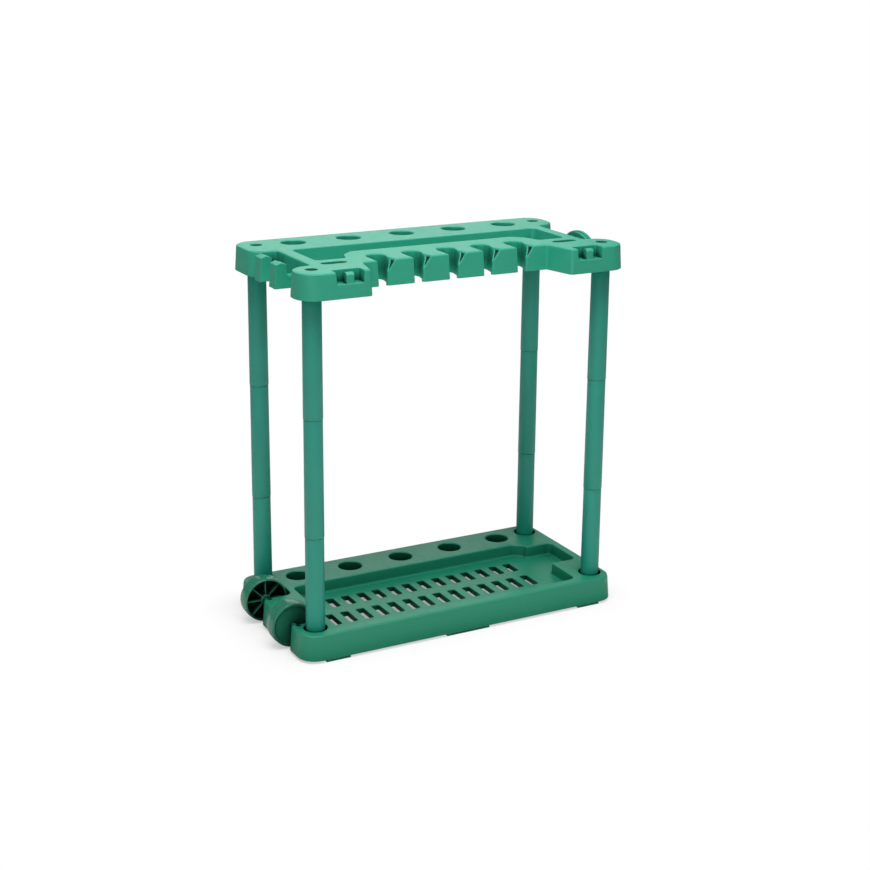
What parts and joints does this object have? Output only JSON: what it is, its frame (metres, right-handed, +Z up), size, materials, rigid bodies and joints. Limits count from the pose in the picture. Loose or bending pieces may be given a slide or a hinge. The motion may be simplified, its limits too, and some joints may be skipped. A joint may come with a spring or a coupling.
{
  "type": "garden tool rack",
  "caption": "Freestanding garden tool rack on two wheels: slotted base tray, plugged posts, and a top rack with round holes, a comb of snap notches, hooks and an end grip.",
  "frame": {"origin": "on the floor, halfway along the whole stand with its wheels and midway between the front and rear posts", "axes": "+X towards the grip end, away from the wheels, -Y towards the front with the comb of notches, +Z up"},
  "size_m": [0.5856, 0.2868, 0.6023],
  "materials": {
    "base_moulding": "satin",
    "rack_moulding": "satin",
    "post_tube": "satin",
    "wheel_moulding": "satin",
    "axle_pin": "satin"
  },
  "bodies": {
    "stand": {"base_tray": "base_moulding", "top_rack": "rack_moulding", "post_front_left_lower": "post_tube", "post_front_left_middle": "post_tube", "post_front_left_upper": "post_tube", "post_rear_left_lower": "post_tube", "post_rear_left_middle": "post_tube", "post_rear_left_upper": "post_tube", "post_front_right_lower": "post_tube", "post_front_right_middle": "post_tube", "post_front_right_upper": "post_tube", "post_rear_right_lower": "post_tube", "post_rear_right_middle": "post_tube", "post_rear_right_upper": "post_tube", "axle_pin_front": "axle_pin", "axle_pin_rear": "axle_pin"},
    "wheel_front": {"wheel_front": "wheel_moulding"},
    "wheel_rear": {"wheel_rear": "wheel_moulding"}
  },
  "joints": [
    {"name": "wheel_front_spin", "type": "hinge", "parent": "stand", "child": "wheel_front", "pos_m": [-0.25645, -0.0548, 0.0369], "axis": [0, 1, 0], "continuous": true},
    {"name": "wheel_rear_spin", "type": "hinge", "parent": "stand", "child": "wheel_rear", "pos_m": [-0.25645, 0.0548, 0.0369], "axis": [0, 1, 0], "continuous": true}
  ]
}
